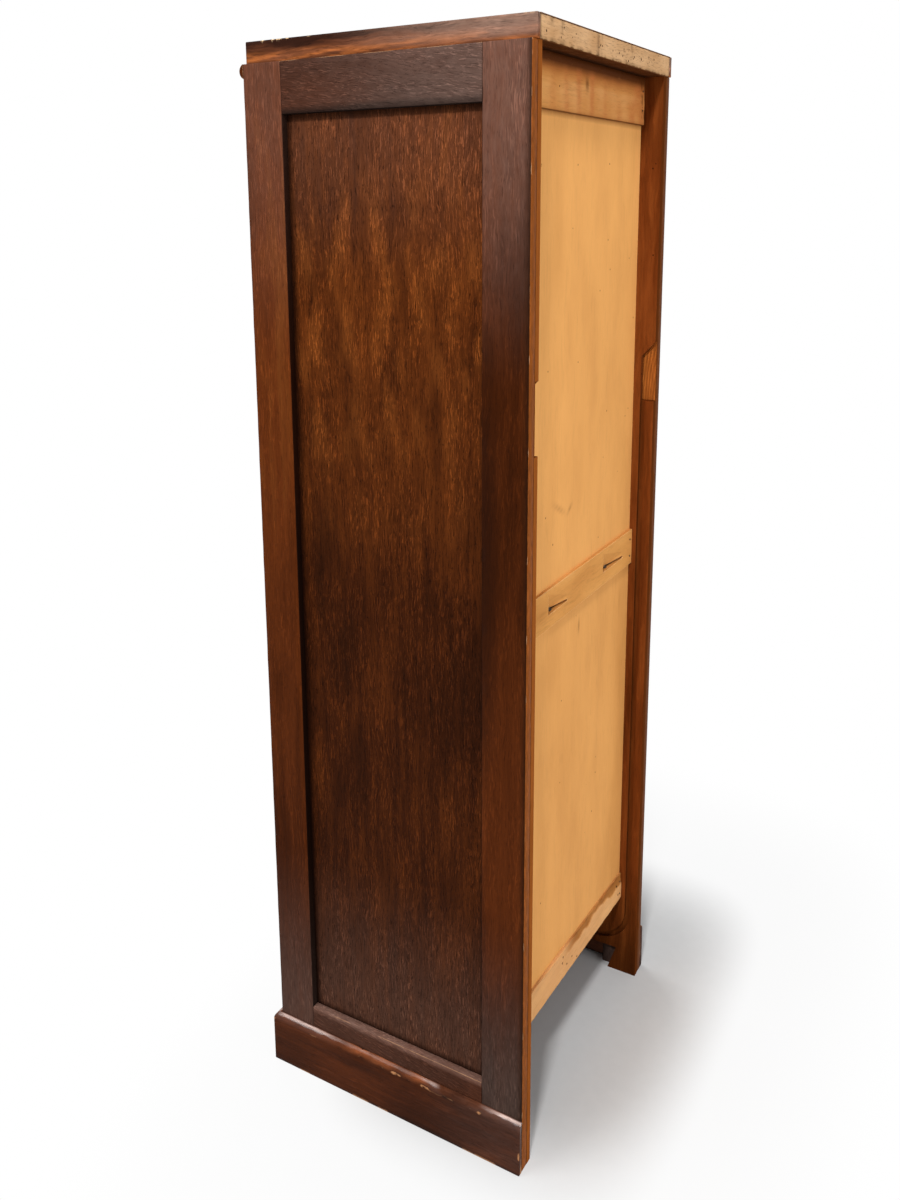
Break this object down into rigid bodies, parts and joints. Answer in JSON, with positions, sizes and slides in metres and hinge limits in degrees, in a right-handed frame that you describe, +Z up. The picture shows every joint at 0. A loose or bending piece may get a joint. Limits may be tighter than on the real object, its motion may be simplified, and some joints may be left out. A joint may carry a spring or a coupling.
{
  "type": "roller shutter filing cabinet",
  "caption": "Upright oak filing cabinet with framed sides, a panelled back and a slatted shutter that slides down the front, round under the bottom board.",
  "frame": {"origin": "on the floor, under the middle of the whole cabinet", "axes": "+Z up; the shutter front faces -Y and the back +Y; +X is the right side seen from the front"},
  "size_m": [0.4308, 0.3764, 1.34],
  "materials": {
    "frame_oak": "dark stained oak, satin varnish",
    "panel_oak": "dark stained oak veneer with amber streaks, satin varnish",
    "top_oak": "stained oak with orange streaks, worn edges",
    "moulding_oak": "dark stained oak, satin varnish",
    "plinth_oak": "dark stained oak, rubbed to orange along the rounded edge",
    "softwood_stained": "reddish-brown stained softwood, matt",
    "softwood_board": "stained softwood board, matt",
    "top_core": "bare pale softwood",
    "pale_softwood": "bare pale softwood",
    "honey_ply": "bare honey-coloured plywood",
    "shelf_ply": "bare plywood",
    "slat_oak": "dark stained oak, satin varnish",
    "canvas": "coarse unbleached canvas",
    "aged_brass": "aged brass",
    "dull_steel": "dull steel"
  },
  "bodies": {
    "cabinet": {"top_board": "top_core", "top_veneer": "top_oak", "right_lipping": "top_oak", "left_lipping": "top_oak", "front_lipping": "top_oak", "front_moulding": "moulding_oak", "right_front_stile": "frame_oak", "right_rear_stile": "frame_oak", "right_top_rail": "frame_oak", "right_bottom_rail": "frame_oak", "right_panel": "panel_oak", "right_lining": "softwood_stained", "left_front_stile": "frame_oak", "left_rear_stile": "frame_oak", "left_top_rail": "frame_oak", "left_bottom_rail": "frame_oak", "left_panel": "panel_oak", "left_lining": "softwood_stained", "plinth_front": "plinth_oak", "plinth_right": "plinth_oak", "plinth_left": "plinth_oak", "plinth_blocks": "pale_softwood", "front_top_rail": "frame_oak", "front_bottom_rail": "frame_oak", "bottom_board": "softwood_board", "middle_board": "softwood_board", "back_top_rail": "pale_softwood", "back_mid_rail": "pale_softwood", "back_bottom_rail": "pale_softwood", "back_upper_panel": "honey_ply", "back_lower_panel": "honey_ply", "pocket_screws": "dull_steel", "nails": "dull_steel", "upper_shelf_1": "shelf_ply", "upper_shelf_2": "shelf_ply", "upper_shelf_3": "shelf_ply", "upper_shelf_4": "shelf_ply", "lower_shelf_1": "shelf_ply", "lower_shelf_2": "shelf_ply", "lower_shelf_3": "shelf_ply", "lower_shelf_4": "shelf_ply", "right_bearers": "softwood_stained", "left_bearers": "softwood_stained", "strike_plate": "aged_brass", "strike_screws": "dull_steel"},
    "shutter": {"shutter_slats": "slat_oak", "shutter_canvas": "canvas", "lead_rail": "slat_oak", "finger_pulls": "aged_brass", "pull_screws": "aged_brass", "lock_case": "aged_brass", "lock_screws": "dull_steel", "escutcheon": "aged_brass"},
    "cylinder": {"lock_cylinder": "aged_brass"},
    "bolt": {"lock_bolt": "dull_steel"}
  },
  "joints": [
    {"name": "shutter_slide", "type": "slide", "parent": "cabinet", "child": "shutter", "axis": [0, 0, -1], "range_m": [0, 1.1335], "deforming": ["shutter_slats", "shutter_canvas"]},
    {"name": "lock_turn", "type": "hinge", "parent": "shutter", "child": "cylinder", "pos_m": [0, -0.1778, 1.2725], "axis": [0, 1, 0], "range_deg": [0, 90]},
    {"name": "bolt_slide", "type": "slide", "parent": "shutter", "child": "bolt", "axis": [0, 0, 1], "range_m": [0, 0.008]}
  ],
  "couplings": [
    {"joint": "bolt_slide", "follows": "lock_turn", "m_per_rad": 0.005092}
  ]
}
